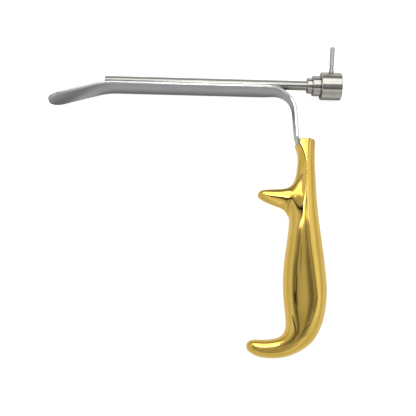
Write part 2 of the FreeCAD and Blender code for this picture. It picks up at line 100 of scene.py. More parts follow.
class Nodes:
    """A short way to write a material's or the world's node tree."""

    def __init__(self, tree):
        self.tree = tree
        tree.nodes.clear()

    def add(self, kind, inputs=None, **settings):
        node = self.tree.nodes.new(kind)
        for name, value in settings.items():
            setattr(node, name, value)
        for name, value in (inputs or {}).items():
            self.set(node.inputs[name], value)
        return node

    def math(self, operation, a, b=0.0, clamp=False):
        return self.add("ShaderNodeMath", {0: a, 1: b}, operation=operation, use_clamp=clamp).outputs[0]

    def mix(self, factor, a, b):
        node = self.add("ShaderNodeMix", data_type="RGBA")
        self.set(node.inputs[MIX_FACTOR], factor)
        self.set(node.inputs[MIX_A], a)
        self.set(node.inputs[MIX_B], b)
        return node.outputs[MIX_RESULT]

    def spread(self, value, low, high, start=0.0, end=1.0):
        """Takes a value between start and end to one between low and high."""
        return self.add("ShaderNodeMapRange", {
            "Value": value, "From Min": start, "From Max": end, "To Min": low, "To Max": high,
        }).outputs[0]

    def ramp(self, value, stops):
        node = self.add("ShaderNodeValToRGB", {"Fac": value})
        elements = node.color_ramp.elements
        while len(elements) < len(stops):
            elements.new(0.5)
        for element, (place, shade) in zip(elements, stops):
            element.position = place
            element.color = shade if isinstance(shade, tuple) else (shade, shade, shade, 1)
        return node.outputs["Color"]

    def set(self, socket, value):
        """Links the socket to another node, or gives it a plain value."""
        if isinstance(value, bpy.types.NodeSocket):
            self.tree.links.new(value, socket)
        else:
            socket.default_value = value


def new_material(name):
    material = bpy.data.materials.new(name)
    material.use_nodes = True
    return material, Nodes(material.node_tree)


def stretched_noise(nodes, stretch, scale, detail=4.0, roughness=0.6):
    """Noise in the part's frame, drawn out along the axes that have a small factor."""
    place = nodes.add("ShaderNodeTexCoord").outputs["Object"]
    mapped = nodes.add("ShaderNodeMapping", {"Vector": place, "Scale": stretch})
    return nodes.add("ShaderNodeTexNoise", {
        "Vector": mapped.outputs[0], "Scale": scale, "Detail": detail, "Roughness": roughness,
    }).outputs["Fac"]


# Gold plate: its darker and lighter patches, painted shade brown to black in its hollows, and file marks
GOLD_DARK = (0.74, 0.492, 0.085, 1)
GOLD_LIGHT = (0.81, 0.565, 0.12, 1)
GOLD_HOLLOW_SHADE = (0.38, 0.235, 0.045, 1)
GOLD_SHADE_AND_MARK_BLACK = (0.03, 0.018, 0.006, 1)
GOLD_COAT = 0.55
HOLLOW_RANGE = (0.74, 0.92)           # depths at which a hollow turns from gold to brown
DEEP_RANGE = (0.93, 1.03)             # and from brown to black
# The gold's noises, by their scale, and the depth of hollows and dents beside the handwork's waves
GOLD_PATCHES, GOLD_HANDWORK, GOLD_BUFFING = 60.0, 210.0, 1500.0
HOLLOW_DEPTH = 0.2
DENT_DEPTH = 1.2

# File marks on the grip's upper flat side: start, end and half width in millimetres of the part's
# frame, and darkness
MARKS = [
    ((-30.8, -155.7), (-30.0, -164.2), 0.8, 1.0),
    ((-32.2, -171.9), (-29.2, -183.9), 0.75, 1.0),
    ((-26.2, -121.7), (-26.7, -141.7), 0.55, 0.6),
    ((-29.7, -144.6), (-29.8, -159.6), 0.6, 0.45),
    ((-20.4, -178.1), (-27.6, -188.2), 0.7, 0.5),
    ((-15.1, -158.1), (-17.8, -169.6), 0.6, 0.35),
]
MARK_TAPER = 0.4                      # power by which a mark narrows to its ends
MARK_THINNEST = 0.01                  # half width at the very ends
MARK_SHARPNESS = 1.6
MARK_DARKNESS = 0.85
DENT_REACH = 3.0                      # width of the shallow dent on each side of a mark

# Between these values a noise fades from one patch to the next
PATCH_LOW = 0.3
PATCH_HIGH = 0.7


def from_line(nodes, place, start, end):
    """Distance of a place from a line's nearest point, and that point's share of the way along it."""
    along = end - start
    from_start = nodes.add("ShaderNodeVectorMath", {0: place, 1: start}, operation="SUBTRACT").outputs[0]
    share = nodes.add("ShaderNodeVectorMath", {0: from_start, 1: along / along.length_squared},
                      operation="DOT_PRODUCT").outputs["Value"]
    share = nodes.math("ADD", share, 0.0, clamp=True)
    nearest = nodes.add("ShaderNodeVectorMath", {0: along, "Scale": share}, operation="SCALE").outputs[0]
    away = nodes.add("ShaderNodeVectorMath", {0: from_start, 1: nearest}, operation="DISTANCE")
    return away.outputs["Value"], share


def file_marks(nodes):
    """Darkness of the file marks, and the height of the shallow dents around them."""
    place = nodes.add("ShaderNodeTexCoord").outputs["Object"]
    flat = nodes.add("ShaderNodeMapping", {"Vector": place, "Scale": (1, 1, 0)}).outputs[0]
    height = nodes.add("ShaderNodeSeparateXYZ", {0: place}).outputs[2]
    upper = nodes.math("GREATER_THAN", height, 0.0)
    dark, dent = 0.0, 0.0
    for start, end, half_width, darkness in MARKS:
        away, share = from_line(nodes, flat, Vector((*start, 0)) * MM, Vector((*end, 0)) * MM)
        ends = nodes.math("MULTIPLY", share, nodes.math("SUBTRACT", 1.0, share))
        taper = nodes.math("POWER", nodes.math("MULTIPLY", ends, 4.0), MARK_TAPER)
        wide = nodes.math("MAXIMUM", nodes.math("MULTIPLY", taper, half_width * MM), MARK_THINNEST * MM)
        mark = nodes.math("SUBTRACT", 1.0, nodes.math("DIVIDE", away, wide), clamp=True)
        mark = nodes.math("MULTIPLY", mark, MARK_SHARPNESS, clamp=True)
        hole = nodes.math("SUBTRACT", 1.0, nodes.math("DIVIDE", away, DENT_REACH * MM), clamp=True)
        hole = nodes.math("MULTIPLY", hole, hole)
        dark = nodes.math("MAXIMUM", dark, nodes.math("MULTIPLY", mark, darkness))
        dent = nodes.math("MAXIMUM", dent, nodes.math("MULTIPLY", hole, darkness))
    return nodes.math("MULTIPLY", dark, upper), nodes.math("MULTIPLY", dent, upper)


def gilded():
    """Polished gold plate, with faint buffing lines, soft waves, hollows with painted shade, and file
    marks.
    """
    material, nodes = new_material("gilded")
    patches = stretched_noise(nodes, (1, 1, 1), GOLD_PATCHES)
    buffing = stretched_noise(nodes, (1, 0.12, 1), GOLD_BUFFING)
    handwork = stretched_noise(nodes, (1, 0.16, 1), GOLD_HANDWORK)
    depth = nodes.add("ShaderNodeAttribute", attribute_name="hollow").outputs["Fac"]
    hollow = nodes.spread(depth, 0.0, 1.0, *HOLLOW_RANGE)
    marks, dents = file_marks(nodes)
    shade_and_mark_black = nodes.math("MAXIMUM", nodes.spread(depth, 0.0, 1.0, *DEEP_RANGE),
                      nodes.math("MULTIPLY", marks, MARK_DARKNESS))
    colour = nodes.ramp(patches, [(PATCH_LOW, GOLD_DARK), (PATCH_HIGH, GOLD_LIGHT)])
    # Painted shade: the gold turns brown in its hollows and black at their bottoms, and the file marks
    # black
    colour = nodes.mix(hollow, colour, GOLD_HOLLOW_SHADE)
    colour = nodes.mix(shade_and_mark_black, colour, GOLD_SHADE_AND_MARK_BLACK)
    height = nodes.math("SUBTRACT", handwork, nodes.math("MULTIPLY", hollow, HOLLOW_DEPTH))
    height = nodes.math("SUBTRACT", height, nodes.math("MULTIPLY", dents, DENT_DEPTH))
    waves = nodes.add("ShaderNodeBump", {"Height": height, "Strength": 0.1, "Distance": 0.0005})
    bump = nodes.add("ShaderNodeBump", {"Height": buffing, "Strength": 0.02, "Distance": 0.0004,
                                        "Normal": waves.outputs[0]})
    coat = nodes.math("SUBTRACT", GOLD_COAT, nodes.math("MULTIPLY", shade_and_mark_black, GOLD_COAT))
    shader = nodes.add("ShaderNodeBsdfPrincipled", {
        "Base Color": colour, "Roughness": nodes.spread(patches, 0.07, 0.13), "Metallic": 1.0,
        "Normal": bump.outputs[0], "Coat Weight": coat, "Coat Roughness": 0.04,
    })
    nodes.add("ShaderNodeOutputMaterial", {"Surface": shader.outputs[0]})
    return material


# Stainless steels: colours of their darker and lighter patches, least and greatest roughness
SATIN_STEEL = ((0.54, 0.55, 0.55, 1), (0.61, 0.62, 0.62, 1), 0.17, 0.27)
POLISHED_STEEL = ((0.38, 0.37, 0.345, 1), (0.42, 0.41, 0.385, 1), 0.12, 0.2)
TURNED_STEEL = ((0.43, 0.415, 0.38, 1), (0.49, 0.475, 0.44, 1), 0.14, 0.22)
TURNED_PIN = ((0.72, 0.71, 0.69, 1), (0.78, 0.77, 0.75, 1), 0.42, 0.5)
BRUSHED_PATCHES, TURNED_PATCHES = 45.0, 120.0
# Painted shade for the narrow corners between turned steps, with how far and how steeply it reaches
PAINTED_CORNER_SHADE = (0.1, 0.09, 0.08, 1)   # in the narrow corners between turned steps
CORNER_REACH = 1.5
CORNER_POWER = 1.5                    # by which that shade deepens into the corner
GRAIN_HEIGHT = 0.3


def grained_steel(nodes, steel, patch_scale, stretch, scale, strength):
    """Colour, roughness and bump of a steel with a drawn-out grain."""
    dark, light, low, high = steel
    grain = stretched_noise(nodes, stretch, scale)
    patches = stretched_noise(nodes, (1, 1, 1), patch_scale)
    colour = nodes.ramp(patches, [(PATCH_LOW, dark), (PATCH_HIGH, light)])
    rough = nodes.spread(grain, low, high, PATCH_LOW, PATCH_HIGH)
    bump = nodes.add("ShaderNodeBump", {
        "Height": grain, "Strength": strength, "Distance": GRAIN_HEIGHT * MM,
    })
    return colour, rough, bump.outputs[0]


def brushed_steel(name, steel, stretch, scale, strength):
    """Stainless steel that was brushed or drawn one way."""
    material, nodes = new_material(name)
    colour, rough, normal = grained_steel(nodes, steel, BRUSHED_PATCHES, stretch, scale, strength)
    shader = nodes.add("ShaderNodeBsdfPrincipled", {
        "Base Color": colour, "Roughness": rough, "Metallic": 1.0, "Normal": normal,
    })
    nodes.add("ShaderNodeOutputMaterial", {"Surface": shader.outputs[0]})
    return material


def turned_steel(name, steel, axis, stretch, scale, strength, streak):
    """Stainless steel turned on a lathe: its reflections are drawn out along the axis."""
    material, nodes = new_material(name)
    colour, rough, normal = grained_steel(nodes, steel, TURNED_PATCHES, stretch, scale, strength)
    # Painted shade: the colour darkens into the corners between turned steps
    open_to_air = nodes.add("ShaderNodeAmbientOcclusion", {"Distance": CORNER_REACH * MM}).outputs["AO"]
    colour = nodes.mix(nodes.math("POWER", open_to_air, CORNER_POWER), PAINTED_CORNER_SHADE, colour)
    along = nodes.add("ShaderNodeVectorTransform", {"Vector": axis}, vector_type="VECTOR",
                      convert_from="OBJECT", convert_to="WORLD")
    shader = nodes.add("ShaderNodeBsdfPrincipled", {
        "Base Color": colour, "Roughness": rough, "Metallic": 1.0, "Normal": normal,
        "Anisotropic": streak, "Tangent": along.outputs[0],
    })
    nodes.add("ShaderNodeOutputMaterial", {"Surface": shader.outputs[0]})
    return material


DULL_PATCHES = 400.0
DULL_SPREAD = 0.08                    # of the roughness, to each side


def dull(name, colour, roughness, metallic):
    """A plain material with slightly uneven roughness, for the solder, the washer and the seals."""
    material, nodes = new_material(name)
    cloud = stretched_noise(nodes, (1, 1, 1), DULL_PATCHES)
    rough = nodes.spread(cloud, roughness - DULL_SPREAD, roughness + DULL_SPREAD)
    shader = nodes.add("ShaderNodeBsdfPrincipled", {
        "Base Color": colour, "Roughness": rough, "Metallic": metallic,
    })
    nodes.add("ShaderNodeOutputMaterial", {"Surface": shader.outputs[0]})
    return material


def dress(node_names, material):
    """Gives the frame's own pieces a material."""
    for name in node_names:
        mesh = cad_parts[name].data
        mesh.materials.clear()
        mesh.materials.append(material)


# Handle: a coarse cage, fitted so that its smoothed surface goes through the rings given here.
# Places are in millimetres from the corner where the shank's back meets the blade.

HOOK_REACH = 33.51              # from the corner forward to the hook's tip
HANDLE_DROP = 37.2              # and down to the handle's top
CORNER = Vector((HANDLE_LOW.x / MM + HOOK_REACH, HANDLE_HIGH.y / MM + HANDLE_DROP, 0.0))
RING = 16                       # points in a ring, from the front round +Z to the back and home
SPUR_SPAN = 2                   # the spur grows from this many points each side of the front
CROWN = 0.036                   # rise of the flat side's middle, as a share of its width
SHOULDER_DROP = 0.985           # the columns fall away faster than ellipses beside the flat side

# The grip's rings, from the top to the hook: front point, back point, half thickness, run to the flat
# side from the front and from the back, and how far the front column is drawn in
GRIP = [
    ((3.8, -37.6), (13.4, -37.6), 5.3, 1.4, 3.4, 1.0),
    ((2.7, -38.0), (14.6, -38.15), 6.35, 1.5, 4.4, 1.0),
    ((2.1, -39.3), (15.2, -39.4), 6.6, 1.4, 5.2, 1.0),
    ((1.2, -40.9), (15.3, -40.9), 6.6, 1.9, 5.5, 0.97),
    ((0.1, -43.2), (15.2, -43.2), 6.6, 3.7, 5.6, 0.86),
    ((1.1, -46.3), (15.2, -46.3), 6.6, 4.1, 5.7, 0.83),
    ((2.1, -50.3), (15.2, -50.3), 6.6, 4.6, 5.9, 0.83),
    ((2.3, -55.0), (15.3, -55.0), 6.7, 5.5, 6.3, 0.85),
    ((1.8, -60.0), (15.5, -60.0), 6.8, 6.6, 6.7, 0.87),
    ((1.0, -65.8), (15.9, -65.8), 6.95, 7.5, 6.9, 0.89),
    ((0.6, -73.0), (16.3, -73.0), 7.2, 7.6, 7.8, 0.93),
    ((-0.2, -81.0), (16.9, -81.0), 7.5, 7.0, 8.5, 1.0),
    ((-1.8, -90.0), (17.7, -90.0), 7.8, 7.6, 9.2, 1.0),
    ((-3.5, -98.5), (18.7, -98.5), 8.2, 8.6, 9.3, 0.97),
    ((-4.1, -107.0), (19.9, -107.0), 8.55, 7.8, 9.7, 1.0),
    ((-5.5, -118.5), (21.5, -118.5), 8.9, 8.4, 10.2, 1.0),
    ((-7.0, -131.0), (23.2, -131.0), 9.2, 8.4, 10.1, 1.0),
    ((-7.6, -146.0), (24.6, -146.0), 9.3, 8.6, 9.6, 1.0),
    ((-6.9, -157.5), (24.4, -157.5), 9.2, 8.2, 8.4, 1.0),
    ((-5.7, -167.5), (23.0, -168.0), 8.9, 7.9, 9.3, 1.0),
    ((-5.2, -174.5), (20.2, -176.9), 8.4, 8.6, 9.8, 1.0),
    ((-6.0, -179.6), (15.1, -186.1), 7.8, 9.0, 9.6, 1.0),
    ((-8.5, -183.2), (6.7, -193.2), 7.1, 7.9, 8.3, 1.0),
    ((-13.4, -185.3), (-4.6, -198.2), 6.3, 7.0, 7.2, 1.0),
    ((-20.0, -186.2), (-17.2, -199.5), 5.9, 6.2, 6.3, 1.0),
    ((-26.4, -186.3), (-25.8, -198.2), 5.6, 5.4, 5.4, 1.0),
    ((-30.6, -186.9), (-30.4, -195.9), 4.6, 4.1, 4.1, 1.0),
    ((-32.8, -188.4), (-32.7, -194.1), 2.9, 2.6, 2.6, 1.0),
]
GRIP_TOP = (8.6, -37.15)
GRIP_END = (-33.5, -191.3)
SPUR_ROWS = (9, 13)             # the rings between which the spur grows

# The spur's rings, from the grip to the tip: top point, bottom point, half thickness, and how far the
# sides lie behind the line between the points
SPUR = [
    ((-1.2, -71.3), (-4.6, -95.6), 5.7, 1.6),
    ((-4.5, -74.3), (-6.6, -92.4), 5.1, 0.6),
    ((-9.6, -75.5), (-10.6, -89.9), 4.7, 0.2),
    ((-17.6, -76.1), (-17.6, -87.5), 4.35, 0.0),
    ((-23.4, -76.8), (-23.2, -85.0), 3.8, 0.0),
    ((-26.2, -78.5), (-26.1, -83.2), 2.4, 0.0),
]
SPUR_END = (-27.2, -80.9)
# One side of the spur's section, from its top to its bottom: share of the height and of the thickness.
# A flat facet faces up, and below its edge the side falls away round.
SPUR_SECTION = [(0.0, 0.0), (0.035, 0.44), (0.13, 0.74), (0.27, 0.93), (0.42, 1.0), (0.52, 0.96),
                (0.70, 0.70), (0.88, 0.37), (1.0, 0.0)]

# Hollows beside the flat side, painted as dark reflections: point of the ring, depth, first and last ring
GROOVES = ((5, 1.03, 1, 13), (5, 0.93, 13, 22), (3, 1.03, 2, 8), (3, 0.93, 14, 22))
# The crease where the spur's edges run out into the grip, painted as shade: ring, point of the ring, depth
CREASE = ((9, 2, 0.99), (12, 2, 1.06), (12, 3, 1.08), (13, 3, 1.05))
# Hollows along the spur, painted as dark reflections: point of the ring, depth
SPUR_GROOVES = ((5, 1.04), (2, 0.99))
SPUR_GROOVED = 4                # rings that have them, from the grip on

CAP_WIDTH = 0.52                # the inner ring of a rounded end, as a share of the ring around it
CAP_RISE = 0.74                 # and of the way out to the end
FIT_ROUNDS = 40
HANDLE_LEVELS = 3               # times that the cage's quads are divided


def grip_ring(front, back, half, front_run, back_run, drawn_in):
    """Flat sides between a front and a back quarter ellipse, seen along the grip."""
    start = Vector((*front, 0.0))
    across = Vector((*back, 0.0)) - start
    width = across.length
    across.normalize()
    edge = half - CROWN * (width - front_run - back_run)
    side = []
    for turn, narrow in ((0, 1.0), (32, drawn_in), (63, drawn_in * SHOULDER_DROP), (90, 1.0)):
        a = math.radians(turn)
        side.append((front_run * (1 - math.cos(a)), edge * math.sin(a) * narrow))
    side.append(((front_run + width - back_run) / 2, half))
    for turn, narrow in ((90, 1.0), (60, SHOULDER_DROP), (30, 1.0), (0, 1.0)):
        a = math.radians(turn)
        side.append((width - back_run * (1 - math.cos(a)), edge * math.sin(a) * narrow))
    upper = [start + across * u + Vector((0, 0, z)) for u, z in side]
    lower = [Vector((p.x, p.y, -p.z)) for p in reversed(upper[1:-1])]
    return upper + lower


def spur_ring(top, bottom, half, behind):
    """The spur's section, from its top over +Z to its bottom and home."""
    points = []
    for k in range(RING):
        down, out = SPUR_SECTION[min(k, RING - k)]
        x = top[0] + (bottom[0] - top[0]) * down + behind * out
        y = top[1] + (bottom[1] - top[1]) * down
        points.append(Vector((x, y, math.copysign(half * out, RING / 2 - k))))
    return points


class Cage:
    """Quads between vertices, with the places that the smoothed surface goes through and the hollows."""

    def __init__(self):
        self.targets = []
        self.quads = []
        self.hollows = {}

    def hollow(self, ring, k, depth):
        """Marks a point of a ring and its mirror image on the other side as lying in a hollow."""
        self.hollows[ring[k]] = self.hollows[ring[-k]] = depth

    def ring(self, points):
        first = len(self.targets)
        self.targets += points
        return list(range(first, first + len(points)))

    def join(self, one, two, skip=()):
        for k in range(len(one)):
            if k not in skip:
                after = (k + 1) % len(one)
                self.quads.append((one[k], one[after], two[after], two[k]))

    def cap(self, ring, end):
        """A grid of four by four quads that closes a ring of sixteen."""
        places = [self.targets[i] for i in ring]
        middle = sum(places, Vector()) / len(places)
        inner = self.ring([middle + (places[k] - middle) * CAP_WIDTH + (end - middle) * CAP_RISE
                           for k in range(0, RING, 2)])
        centre = self.ring([end])[0]
        grid = {(2, 2): centre}
        for step in range(4):
            grid[(0, step)] = ring[(2 + step) % RING]
            grid[(step, 4)] = ring[(6 + step) % RING]
            grid[(4, 4 - step)] = ring[(10 + step) % RING]
            grid[(4 - step, 0)] = ring[(14 + step) % RING]
        around = [(2, 1), (1, 1), (1, 2), (1, 3), (2, 3), (3, 3), (3, 2), (3, 1)]
        for place, vertex in zip(around, inner):
            grid[place] = vertex
        for i in range(4):
            for j in range(4):
                self.quads.append((grid[(i, j)], grid[(i, j + 1)], grid[(i + 1, j + 1)], grid[(i + 1, j)]))

    def fitted(self):
        """Vertices moved until the smoothed surface meets the targets, with the faces and the hollows."""
        target = np.array([tuple(p) for p in self.targets])
        quads = np.array(self.quads)
        count = len(target)
        used = np.zeros(count, bool)
        used[quads.ravel()] = True
        edges = {tuple(sorted((q[i], q[(i + 1) % 4]))) for q in self.quads for i in range(4)}
        edges = np.array(sorted(edges))
        valence = np.bincount(edges.ravel(), minlength=count).astype(float)
        valence[valence == 0] = 4
        place = target.copy()
        for _ in range(FIT_ROUNDS):
            near = np.zeros((count, 3))
            np.add.at(near, edges[:, 0], place[edges[:, 1]])
            np.add.at(near, edges[:, 1], place[edges[:, 0]])
            across = np.zeros((count, 3))
            for i in range(4):
                np.add.at(across, quads[:, i], place[quads[:, (i + 2) % 4]])
            n = valence[:, None]
            # Where a vertex with n edges ends up on a surface that is smoothed by dividing its quads
            limit = (n * n * place + 4 * near + across) / (n * (n + 5))
            place += np.where(used[:, None], target - limit, 0)
        keep = np.flatnonzero(used)
        order = {int(old): new for new, old in enumerate(keep)}
        faces = [tuple(order[int(v)] for v in q) for q in self.quads]
        return place[keep], faces, [self.hollows.get(int(old), 0.0) for old in keep]


def spur_mouth(rings):
    """The vertices around the opening that the spur grows from."""
    start, end = SPUR_ROWS
    mouth = [rings[start][k] for k in range(SPUR_SPAN)]
    mouth += [rings[row][SPUR_SPAN] for row in range(start, end)]
    mouth += [rings[end][k] for k in range(SPUR_SPAN, -SPUR_SPAN, -1)]
    mouth += [rings[row][-SPUR_SPAN] for row in range(end, start, -1)]
    return mouth + [rings[start][k] for k in range(-SPUR_SPAN, 0)]


def handle_cage():
    """The grip from its top to the hook, with the spur grown out of its front."""
    cage = Cage()
    rings = [cage.ring(grip_ring(*station)) for station in GRIP]
    start, end = SPUR_ROWS
    opening = list(range(RING - SPUR_SPAN, RING)) + list(range(SPUR_SPAN))
    for row, (one, two) in enumerate(zip(rings, rings[1:])):
        cage.join(one, two, opening if start <= row < end else ())
    for k, depth, first, last in GROOVES:
        for ring in rings[first:last]:
            cage.hollow(ring, k, depth)
    last_ring = rings[-1]
    cage.cap(rings[0], Vector((*GRIP_TOP, 0)))
    cage.cap([last_ring[0]] + last_ring[:0:-1], Vector((*GRIP_END, 0)))
    before = spur_mouth(rings)
    for row, station in enumerate(SPUR):
        ring = cage.ring(spur_ring(*station))
        cage.join(before, ring)
        before = ring
        if row < SPUR_GROOVED:
            for k, depth in SPUR_GROOVES:
                cage.hollow(ring, k, depth)
    for row, k, depth in CREASE:
        cage.hollow(rings[row], k, depth)
    cage.cap(before, Vector((*SPUR_END, 0)))
    return cage.fitted()


def smooth_object(name, places, faces, levels, material):
    """A piece with smooth shading, whose faces are divided and rounded as many times as levels says."""
    mesh = bpy.data.meshes.new(name)
    mesh.from_pydata([tuple(p) for p in places], [], faces)
    shape = bmesh.new()
    shape.from_mesh(mesh)
    bmesh.ops.recalc_face_normals(shape, faces=shape.faces)
    shape.to_mesh(mesh)
    shape.free()
    mesh.polygons.foreach_set("use_smooth", [True] * len(mesh.polygons))
    mesh.materials.append(material)
    piece = bpy.data.objects.new(name, mesh)
    bpy.context.scene.collection.objects.link(piece)
    if levels:
        rounder = piece.modifiers.new("round", "SUBSURF")
        rounder.levels = levels
        rounder.render_levels = levels
    return piece


def make_handle():
    places, faces, hollows = handle_cage()
    places = (places + np.array(tuple(CORNER))) * MM
    piece = smooth_object("gilded_handle", places, faces, HANDLE_LEVELS, gilded())
    depth = piece.data.attributes.new("hollow", "FLOAT", "POINT")
    depth.data.foreach_set("value", hollows)
    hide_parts("handle")
    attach(piece, "retractor")


# Blade: one bent strip, laid along its top face from the tip to the tang, in millimetres of the
# part's frame and degrees

HALF_WIDTH = (BLADE_HIGH.z - BLADE_LOW.z) / 2 / MM
BLADE_TOP = BLADE_HIGH.y / MM
TANG_END = BLADE_LOW.y / MM
SHANK_BACK = -31.5              # where the lines of the top face and of the shank's back meet
TIP_START = -174.4              # and where those of the tip and of the top face meet
TIP_TURN = 16.0
TIP_LENGTH = 44.0
SHANK_LEAN = 5.0
TIP_BEND = 50.0                 # radius of the top face where the tip turns down
MAIN_BEND = 18.5                # and where the blade turns into the shank
BLADE_THICK = 2.1
SHANK_THICK = 2.5
EDGE_ROUND = 0.26               # radius of the long edges, as a share of the thickness
EDGE_LIMIT = 0.6                # and at most this share of the half width
EDGE_STEPS = 5
EDGE_BAND = 0.5                 # width of the narrow strip of faces beside the round edge
BAND_LIMIT = 0.2                # which leaves at least this share of the half width
TIP_ROUND = 11.0                # length of the rounded end
TIP_STEP = 5                    # degrees between its sections
TIP_SQUARENESS = 2.35
SHOULDER = (-7.0, 18.0)         # the blade narrows between these lengths past the bend's start
SHANK_HALF = 7.3                # half width at the bend's lower end
NECK_HALF = 6.9                 # and where the shank enters the handle
NECK = -40.0
TANG_HALF = 1.8
TANG_ROUND = 1.6                # power by which the tang narrows to its end
TANG_THINNING = 0.2             # per millimetre, on the front face
# Sections along each straight run and each bend
TIP_RUN_STEPS, TIP_BEND_STEPS = 10, 8
MAIN_RUN_STEPS, MAIN_BEND_STEPS = 24, 26
TANG_STEPS = 30


def blade_corners():
    """The corners of the top face's line, seen from the side."""
    turn = math.radians(TIP_TURN)
    lean = math.radians(SHANK_LEAN)
    middle = Vector((TIP_START, BLADE_TOP))
    tip = middle + Vector((-math.cos(turn), -math.sin(turn))) * TIP_LENGTH
    fall = (TANG_END - BLADE_TOP) / math.cos(lean)
    tang = Vector((SHANK_BACK, BLADE_TOP)) - Vector((math.sin(lean), -math.cos(lean))) * fall
    return [tip, middle, Vector((SHANK_BACK, BLADE_TOP)), tang]


def tip_length(degrees):
    """Distance from the end of the tip, by the angle on its rounded end."""
    return TIP_ROUND * (1 - math.cos(math.radians(degrees)))


def blade_line():
    """Points along the top face, from the tip to the tang, with their directions."""
    tip, middle, corner, tang = blade_corners()
    first = (middle - tip).normalized()
    last = (tang - corner).normalized()
    along = Vector((1, 0))
    line = [(tip + first * tip_length(degrees), first) for degrees in range(TIP_STEP, 91, TIP_STEP)]
    bends = ((first, along, middle, TIP_BEND, TIP_RUN_STEPS, TIP_BEND_STEPS),
             (along, last, corner, MAIN_BEND, MAIN_RUN_STEPS, MAIN_BEND_STEPS))
    for one, two, turn_at, radius, run_steps, bend_steps in bends:
        turn = -one.angle_signed(two)
        start = turn_at - one * radius * math.tan(abs(turn) / 2)
        begin = line[-1][0]
        line += [(begin.lerp(start, k / run_steps), one) for k in range(1, run_steps)]
        side = Vector((one.y, -one.x))
        centre = start + side * radius
        for k in range(bend_steps + 1):
            a = abs(turn) * k / bend_steps
            ahead = one * math.cos(a) + side * math.sin(a)
            outward = Vector((-ahead.y, ahead.x))
            line.append((centre + outward * radius, ahead))
    begin = line[-1][0]
    return line + [(begin.lerp(tang, k / TANG_STEPS), last) for k in range(1, TANG_STEPS + 1)]


def blade_half_width(place, ahead, length):
    """Half width of the blade at a place, by its distance from the tip's end and by its direction."""
    if length < TIP_ROUND:
        rest = (1 - length / TIP_ROUND) ** TIP_SQUARENESS
        return HALF_WIDTH * (1 - rest) ** (1 / TIP_SQUARENESS)
    if place.y > NECK:
        turn = math.radians(90 - SHANK_LEAN)
        bend_start = SHANK_BACK - MAIN_BEND * math.tan(turn / 2)
        past = place.x - bend_start
        if ahead.y < 0 < past:
            past = MAIN_BEND * math.atan2(-ahead.y, ahead.x)
        blend = min(max((past - SHOULDER[0]) / (SHOULDER[1] - SHOULDER[0]), 0.0), 1.0)
        blend *= blend * (3 - 2 * blend)
        half = HALF_WIDTH + (SHANK_HALF - HALF_WIDTH) * blend
        bend_end = BLADE_TOP - MAIN_BEND
        return half + (NECK_HALF - SHANK_HALF) * max((bend_end - place.y) / (bend_end - NECK), 0.0)
    down = min((NECK - place.y) / (NECK - TANG_END), 1.0)
    return TANG_HALF + (NECK_HALF - TANG_HALF) * math.sqrt(max(1 - down ** TANG_ROUND, 0.0))


def blade_ring(place, ahead, half, thick):
    """A flat strip's section with round edges, from the top face's middle round to the under face."""
    under = Vector((ahead.y, -ahead.x))
    round_off = min(EDGE_ROUND * thick, EDGE_LIMIT * half)
    band = max(half - round_off - EDGE_BAND, half * BAND_LIMIT)
    points = [(0.0, 0.0), (0.0, band), (0.0, half - round_off)]
    for k in range(1, EDGE_STEPS + 1):
        a = math.radians(90 * k / EDGE_STEPS)
        points.append((round_off * (1 - math.cos(a)), half - round_off * (1 - math.sin(a))))
    points += [(thick - depth, z) for depth, z in reversed(points)]
    points += [(depth, -z) for depth, z in reversed(points[1:-1])]
    ring = []
    for depth, z in points:
        flat = place + under * depth
        ring.append((flat.x * MM, flat.y * MM, z * MM))
    return ring


def make_blade():
    """Rings along the line, joined by quads, with a face at each end."""
    line = blade_line()
    length = tip_length(TIP_STEP)
    before = line[0][0]
    places = []
    for place, ahead in line:
        length += (place - before).length
        before = place
        turned = min(max(math.degrees(math.atan2(-ahead.y, ahead.x)) / (90 - SHANK_LEAN), 0.0), 1.0)
        thick = BLADE_THICK + (SHANK_THICK - BLADE_THICK) * turned
        thick -= TANG_THINNING * max(NECK - place.y, 0.0)
        places += blade_ring(place, ahead, blade_half_width(place, ahead, length), thick)
    count = len(places) // len(line)
    last = len(places) - count
    faces = []
    for base in range(0, last, count):
        for k in range(count):
            after = (k + 1) % count
            faces.append((base + k, base + after, base + count + after, base + count + k))
    faces.append(tuple(range(count)))
    faces.append(tuple(reversed(range(last, len(places)))))
    steel = brushed_steel("satin_steel", SATIN_STEEL, stretch=(0.06, 1, 1), scale=2200.0, strength=0.05)
    piece = smooth_object("satin_blade", places, faces, 0, steel)
    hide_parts("blade")
    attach(piece, "retractor")


# Stage

FLOOR_HALF = 3.0
FLOOR_GAP = 0.0002                # between the floor and the instrument's lowest point
FLOOR_WHITE = (0.9, 0.9, 0.9, 1)
FLOOR_GLOW = (0.72, 0.72, 0.72, 1)
# What the metal sees of the floor: how white it is under a painted shadow, by its distance in Y from the
# blade's line up to SHADOW_REACH, a painted glow from FAR_FROM to FAR_TO away and beyond, and a painted
# glow between Y 0 and -NEAR_REACH
BLADE_LINE = -0.005
SHADOW_REACH = 0.06
SHADOWED_WHITE = [(0.0, 0.15), (0.08, 0.18), (0.2, 0.37), (0.33, 0.6), (1.0, 0.65)]
FAR_FROM, FAR_TO, FAR_GLOW = 0.015, 0.045, 0.42
NEAR_REACH = 0.02
NEAR_GLOW = [(0.1, 0.0), (0.18, 0.03), (0.28, 0.14), (0.4, 0.18), (0.53, 0.4), (0.65, 0.4), (0.85, 0.06),
             (1.0, 0.0)]


